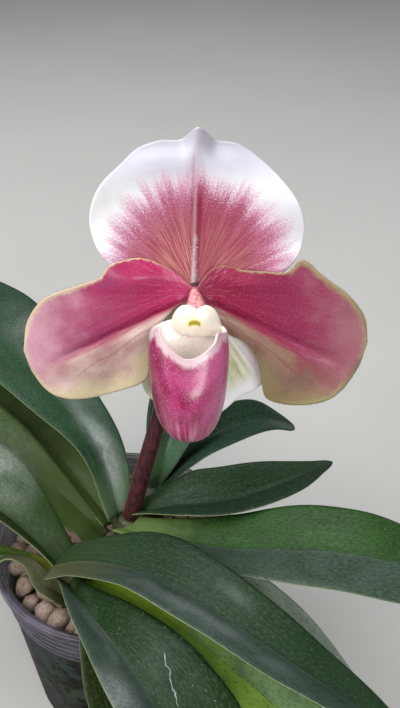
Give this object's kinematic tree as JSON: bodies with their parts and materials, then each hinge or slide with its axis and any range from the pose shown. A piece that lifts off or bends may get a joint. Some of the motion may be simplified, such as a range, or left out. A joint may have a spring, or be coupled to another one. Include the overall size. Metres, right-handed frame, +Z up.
{
  "type": "potted slipper orchid",
  "caption": "Potted slipper orchid: fans of folded strap leaves round an upright hairy stem with a pouched flower, in a clear plastic pot of pumice with a ribbed band.",
  "frame": {"origin": "centre of the pot's underside, on the surface that the pot stands on", "axes": "+Z up along the pot's axis; the flower faces -Y, tilted up; +X to the right as the flower is seen from the front"},
  "size_m": [0.2626, 0.2349, 0.2335],
  "materials": {
    "clear_plastic": "clear, faintly mauve-grey, glossy, with fine ribs in a band under the rim",
    "pumice": "rough, matt, beige to pinkish grains",
    "leaf": "waxy, half gloss, dark green with olive at the foot and underneath",
    "sheath": "half matt, yellow-green",
    "stem": "dark maroon, covered in short pale hairs",
    "dorsal_sepal": "satin, white edge, pink streaks from the foot and a crimson midrib",
    "green_sepal": "satin, pale green with darker green veins",
    "petal": "glossy, rose-magenta with darker veins and a cream edge",
    "pouch": "glossy magenta-pink with a whitish rolled rim",
    "column": "pink, covered in short hairs",
    "staminode": "glossy cream-white with a yellow-green crescent"
  },
  "bodies": {
    "root": {"pot": "clear_plastic", "pumice": "pumice", "growth_front": "sheath", "growth_flowering": "sheath", "growth_rear": "sheath", "leaf_front_1": "leaf", "leaf_front_2": "leaf", "leaf_front_3": "leaf", "leaf_front_4": "leaf", "leaf_front_5": "leaf", "leaf_front_6": "leaf", "leaf_front_7": "leaf", "leaf_flowering_1": "leaf", "leaf_flowering_2": "leaf", "leaf_flowering_3": "leaf", "leaf_flowering_4": "leaf", "leaf_flowering_5": "leaf", "leaf_flowering_6": "leaf", "leaf_rear_1": "leaf", "leaf_rear_2": "leaf", "bract": "sheath", "stem_sheath": "sheath", "stem": "stem", "ovary": "stem", "dorsal_sepal": "dorsal_sepal", "synsepal": "green_sepal", "petal_left": "petal", "petal_right": "petal", "pouch": "pouch", "column": "column", "staminode": "staminode"}
  },
  "joints": []
}
